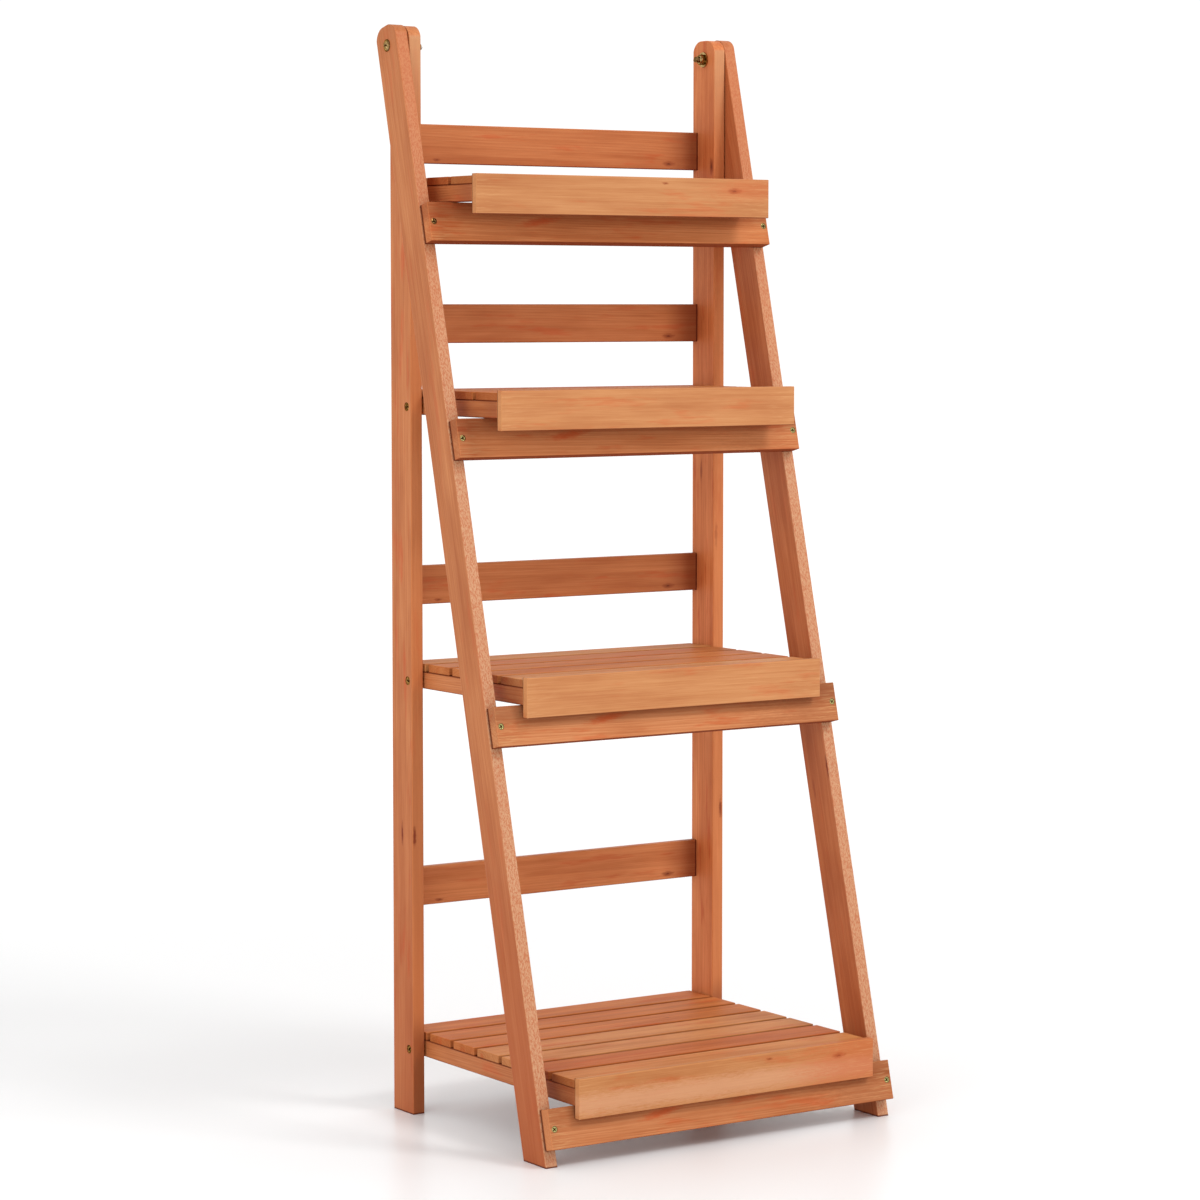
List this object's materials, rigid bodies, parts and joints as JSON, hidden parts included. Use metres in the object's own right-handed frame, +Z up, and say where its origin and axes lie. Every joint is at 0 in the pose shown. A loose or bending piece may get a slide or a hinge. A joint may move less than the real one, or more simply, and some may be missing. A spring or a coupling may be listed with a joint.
{
  "type": "plant stand",
  "caption": "Folding wooden ladder plant stand with slatted flip-up shelves, an upright rear frame and a leaning front frame.",
  "frame": {"origin": "on the floor under the middle of the stand's outline", "axes": "+X to the right seen from the front, -Y to the front where the shelves overhang, +Z up"},
  "size_m": [0.4258, 0.3266, 1.114],
  "materials": {
    "rear_leg_wood": "satin stain, orange brown, straight grain along the board",
    "front_leg_wood": "satin stain, orange brown, straight grain along the board",
    "back_rail_wood": "satin stain, orange brown, straight grain along the board",
    "front_rail_wood": "satin stain, orange brown, straight grain along the board",
    "fascia_wood": "satin stain, orange brown, straight grain along the board",
    "side_rail_wood": "satin stain, orange brown, straight grain along the board",
    "slat_wood": "satin stain, orange brown, straight grain along the board",
    "dowel_wood": "raw birch",
    "yellow_zinc": "yellow zinc plated steel"
  },
  "bodies": {
    "rear_frame": {"rear_leg_left": "rear_leg_wood", "rear_leg_right": "rear_leg_wood", "back_rail_1": "back_rail_wood", "back_rail_2": "back_rail_wood", "back_rail_3": "back_rail_wood", "back_rail_4": "back_rail_wood", "back_rail_dowels": "dowel_wood", "pivot_bolt_left": "yellow_zinc", "pivot_bolt_right": "yellow_zinc", "leg_spacer_washers": "yellow_zinc", "pivot_washers": "yellow_zinc", "pivot_nuts": "yellow_zinc", "shelf_pivot_washers": "yellow_zinc"},
    "front_frame": {"front_leg_left": "front_leg_wood", "front_leg_right": "front_leg_wood", "front_rail_1": "front_rail_wood", "front_rail_2": "front_rail_wood", "front_rail_3": "front_rail_wood", "front_rail_4": "front_rail_wood", "front_rail_screws": "yellow_zinc"},
    "shelf_1": {"shelf_1_fascia": "fascia_wood", "shelf_1_side_rail_left": "side_rail_wood", "shelf_1_side_rail_right": "side_rail_wood", "shelf_1_slat_1": "slat_wood", "shelf_1_slat_2": "slat_wood", "shelf_1_slat_3": "slat_wood", "shelf_1_pivot_screws": "yellow_zinc"},
    "shelf_2": {"shelf_2_fascia": "fascia_wood", "shelf_2_side_rail_left": "side_rail_wood", "shelf_2_side_rail_right": "side_rail_wood", "shelf_2_slat_1": "slat_wood", "shelf_2_slat_2": "slat_wood", "shelf_2_slat_3": "slat_wood", "shelf_2_slat_4": "slat_wood", "shelf_2_pivot_screws": "yellow_zinc"},
    "shelf_3": {"shelf_3_fascia": "fascia_wood", "shelf_3_side_rail_left": "side_rail_wood", "shelf_3_side_rail_right": "side_rail_wood", "shelf_3_slat_1": "slat_wood", "shelf_3_slat_2": "slat_wood", "shelf_3_slat_3": "slat_wood", "shelf_3_slat_4": "slat_wood", "shelf_3_slat_5": "slat_wood", "shelf_3_pivot_screws": "yellow_zinc"},
    "shelf_4": {"shelf_4_fascia": "fascia_wood", "shelf_4_side_rail_left": "side_rail_wood", "shelf_4_side_rail_right": "side_rail_wood", "shelf_4_slat_1": "slat_wood", "shelf_4_slat_2": "slat_wood", "shelf_4_slat_3": "slat_wood", "shelf_4_slat_4": "slat_wood", "shelf_4_slat_5": "slat_wood", "shelf_4_slat_6": "slat_wood", "shelf_4_slat_7": "slat_wood", "shelf_4_pivot_screws": "yellow_zinc"}
  },
  "joints": [
    {"name": "front_fold", "type": "hinge", "parent": "rear_frame", "child": "front_frame", "pos_m": [0, 0.14252, 1.093], "axis": [1, 0, 0], "range_deg": [0, 12]},
    {"name": "shelf_1_flip", "type": "hinge", "parent": "rear_frame", "child": "shelf_1", "pos_m": [0, 0.13126, 0.943], "axis": [-1, 0, 0], "range_deg": [0, 93]},
    {"name": "shelf_2_flip", "type": "hinge", "parent": "rear_frame", "child": "shelf_2", "pos_m": [0, 0.13126, 0.7285], "axis": [-1, 0, 0], "range_deg": [0, 92]},
    {"name": "shelf_3_flip", "type": "hinge", "parent": "rear_frame", "child": "shelf_3", "pos_m": [0, 0.13126, 0.4485], "axis": [-1, 0, 0], "range_deg": [0, 91.5]},
    {"name": "shelf_4_flip", "type": "hinge", "parent": "rear_frame", "child": "shelf_4", "pos_m": [0, 0.13126, 0.067], "axis": [-1, 0, 0], "range_deg": [0, 91]}
  ]
}
